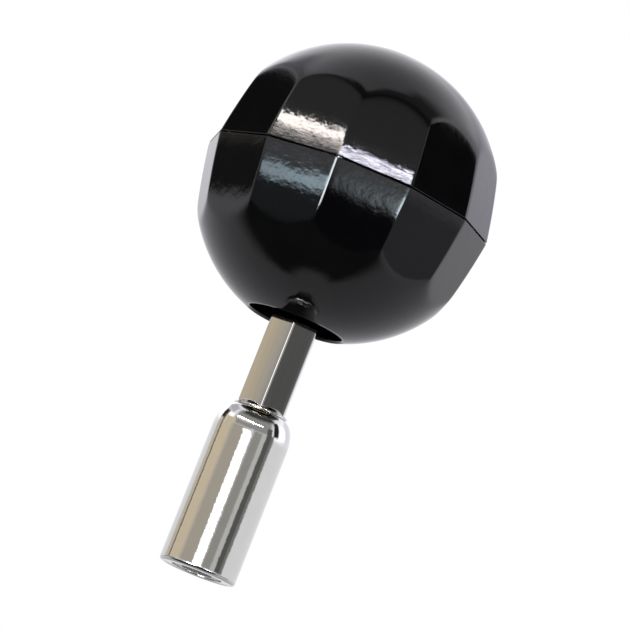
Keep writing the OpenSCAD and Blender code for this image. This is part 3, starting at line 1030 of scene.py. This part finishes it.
# Room: white walls above a darker front, with soft boxes, reflectors and black flags round the
# tool. Each is given by its edges as seen from the tool, in degrees: its turn from the camera,
# positive to the right, and its height above the horizon.
world = bpy.data.worlds.new("studio room")
world.use_nodes = True
bpy.context.scene.world = world
room = world.node_tree
room.nodes.clear()
toward = add_node(room, "ShaderNodeTexCoord").outputs["Generated"]
parts = add_node(room, "ShaderNodeSeparateXYZ", {"Vector": toward})
front = add_node(room, "ShaderNodeMath", {0: parts.outputs["Y"], 1: -1.0}, operation="MULTIPLY")
swing = add_node(room, "ShaderNodeMath", {
    0: parts.outputs["X"], 1: front.outputs["Value"],
}, operation="ARCTAN2")
swing_deg = add_node(room, "ShaderNodeMath", {
    0: swing.outputs["Value"], 1: 180 / math.pi, 2: -math.degrees(camera_azimuth),
}, operation="MULTIPLY_ADD").outputs["Value"]
climb = add_node(room, "ShaderNodeMath", {0: parts.outputs["Z"]}, operation="ARCSINE")
climb_deg = add_node(room, "ShaderNodeMath", {
    0: climb.outputs["Value"], 1: 180 / math.pi,
}, operation="MULTIPLY").outputs["Value"]


def share_between(value, low, high, soft):
    """1 between two angles and 0 outside, with soft edges."""
    rise = add_node(room, "ShaderNodeMapRange", {
        "Value": value, "From Min": low - soft, "From Max": low + soft,
    }, interpolation_type="SMOOTHSTEP")
    fall = add_node(room, "ShaderNodeMapRange", {
        "Value": value, "From Min": high - soft, "From Max": high + soft, "To Min": 1.0, "To Max": 0.0,
    }, interpolation_type="SMOOTHSTEP")
    both = add_node(room, "ShaderNodeMath", {
        0: rise.outputs["Result"], 1: fall.outputs["Result"],
    }, operation="MULTIPLY")
    return both.outputs["Value"]


def hang_card(behind, turn, rise, colour, strength, soft=(2.0, 1.0), slant=0.0):
    """A light or dark card in front of what is behind it; slant leans its sides."""
    across = swing_deg
    if slant:
        across = add_node(room, "ShaderNodeMath", {
            0: climb_deg, 1: -slant, 2: swing_deg,
        }, operation="MULTIPLY_ADD").outputs["Value"]
    share = add_node(room, "ShaderNodeMath", {
        0: share_between(across, *turn, soft[0]), 1: share_between(climb_deg, *rise, soft[1]),
    }, operation="MULTIPLY")
    light = Vector(hex_to_linear(colour)[:3]) * strength
    return add_node(room, "ShaderNodeMix", {
        "Factor": share.outputs["Value"], "A": behind, "B": tuple(light),
    }, data_type="VECTOR").outputs["Result"]


# Walls: brightest a little above the horizon, dimmer toward the ceiling and the floor.
height_steps = (
    (-90, 0.5), (-50, 0.55), (-20, 0.72), (-8, 0.85), (3, 0.98), (9, 1.05), (14, 1.6), (20, 2.1),
    (36, 1.7), (56, 1.15), (74, 0.72), (90, 0.62),
)
wall_share = add_node(room, "ShaderNodeMapRange", {
    "Value": climb_deg, "From Min": -90.0, "From Max": 90.0,
})
walls = add_node(room, "ShaderNodeFloatCurve", {"Value": wall_share.outputs["Result"]})
wall_curve = walls.mapping.curves[0]
curve_top = 2.5
for rise, light in height_steps:
    if abs(rise) == 90:
        wall_curve.points[0 if rise < 0 else -1].location = ((rise + 90) / 180, light / curve_top)
    else:
        wall_curve.points.new((rise + 90) / 180, light / curve_top)
walls.mapping.update()
wall_light = add_node(room, "ShaderNodeMath", {
    0: walls.outputs["Value"], 1: curve_top,
}, operation="MULTIPLY")
seen = add_node(room, "ShaderNodeVectorMath", {
    0: wall_light.outputs["Value"], 1: tuple(hex_to_linear("#FAFAFF")[:3]),
}, operation="MULTIPLY").outputs["Vector"]

# Dim front of the room, above and below the horizon.
seen = hang_card(seen, (118, 172), (10, 40), "#F4F4FF", 1.15, (8, 4))
seen = hang_card(seen, (-145, -84), (30, 50), "#F4F4FF", 0.7, (10, 5))
seen = hang_card(seen, (-75, 62), (14, 52), "#FFFFFF", 0.38, (12, 6))
seen = hang_card(seen, (-62, 75), (44, 68), "#F2F6F2", 0.07, (12, 5))
seen = hang_card(seen, (-10, 105), (58, 79), "#F0F4EC", 0.16, (20, 5))
seen = hang_card(seen, (-98, 62), (-78, -9), "#EAF2EC", 0.06, (12, 5))
seen = hang_card(seen, (-70, -22), (-16, -9), "#EAF4F6", 0.22, (8, 2))
seen = hang_card(seen, (60, 104), (-16, -2), "#F0F2FA", 0.42, (6, 2))
# Black flags, which keep single grip faces dark.
seen = hang_card(seen, (-127, -104), (15, 30), "#FFFFFF", 0.03, (4, 3))
seen = hang_card(seen, (66, 88), (17, 46), "#FFFFFF", 0.025, (5, 3))
seen = hang_card(seen, (-125, -78), (-4.5, 2.5), "#FFFFFF", 0.07, (6, 1))
seen = hang_card(seen, (-20, 44), (-24, -10.5), "#E8F0FF", 0.02, (8, 1))
# At the horizon: tan and grey things to the left, a white panel, grey and dark ones to the right.
seen = hang_card(seen, (-100, -62), (3, 24), "#EADBC0", 1.0, (4, 2))
seen = hang_card(seen, (-65, -18), (2, 16), "#F3EADB", 0.6, (8, 2))
seen = hang_card(seen, (-124, -107), (2, 15), "#EFE6D6", 0.84, (2, 2))
seen = hang_card(seen, (-108.5, -101), (3, 30), "#CDB68C", 0.55, (2, 2))
seen = hang_card(seen, (4, 34), (2, 16), "#F4F1EC", 0.44, (7, 2))
seen = hang_card(seen, (33, 47), (2, 16), "#FFFFFF", 0.68, (3, 2))
seen = hang_card(seen, (58, 71), (2, 18), "#F4F6F2", 0.27, (3, 2))
seen = hang_card(seen, (45, 61), (2, 29), "#F0F3EE", 0.15, (2, 2))
seen = hang_card(seen, (-16.5, 8.5), (-1, 13), "#FFFFFF", 2.6, (3, 1.5), -1.0)
seen = hang_card(seen, (-37, -8), (-13, -1.5), "#F4F8FF", 22.0, (3, 1))
seen = hang_card(seen, (18, 40), (-9.8, -7.0), "#DCECF4", 20.0, (6, 0.8))
# Warm strip light high on the left, thin cool tube high on the right, cool low panel in front.
seen = hang_card(seen, (-64, -3), (25.5, 30.0), "#F8F4F2", 0.8, (3, 0.8))
seen = hang_card(seen, (-64, -6), (30.2, 31.7), "#FFF6F0", 28.0, (4, 0.5))
seen = hang_card(seen, (-10, 26), (29.9, 30.3), "#EFEEFF", 200.0, (3, 0.12))
seen = hang_card(seen, (-47, -30), (-9.4, -7.3), "#CCE4F0", 15.0, (8, 0.8))

plain_white = (1.0, 1.0, 1.0)
straight_view = add_node(room, "ShaderNodeLightPath").outputs["Is Camera Ray"]
room_or_plain = add_node(room, "ShaderNodeMix", {
    "Factor": straight_view, "A": seen, "B": plain_white,
}, data_type="VECTOR")
room_light = add_node(room, "ShaderNodeBackground", {
    "Color": room_or_plain.outputs["Result"], "Strength": 1.0,
})
add_node(room, "ShaderNodeOutputWorld", {"Surface": room_light.outputs["Background"]})
bpy.context.scene.view_settings.view_transform = "Standard"
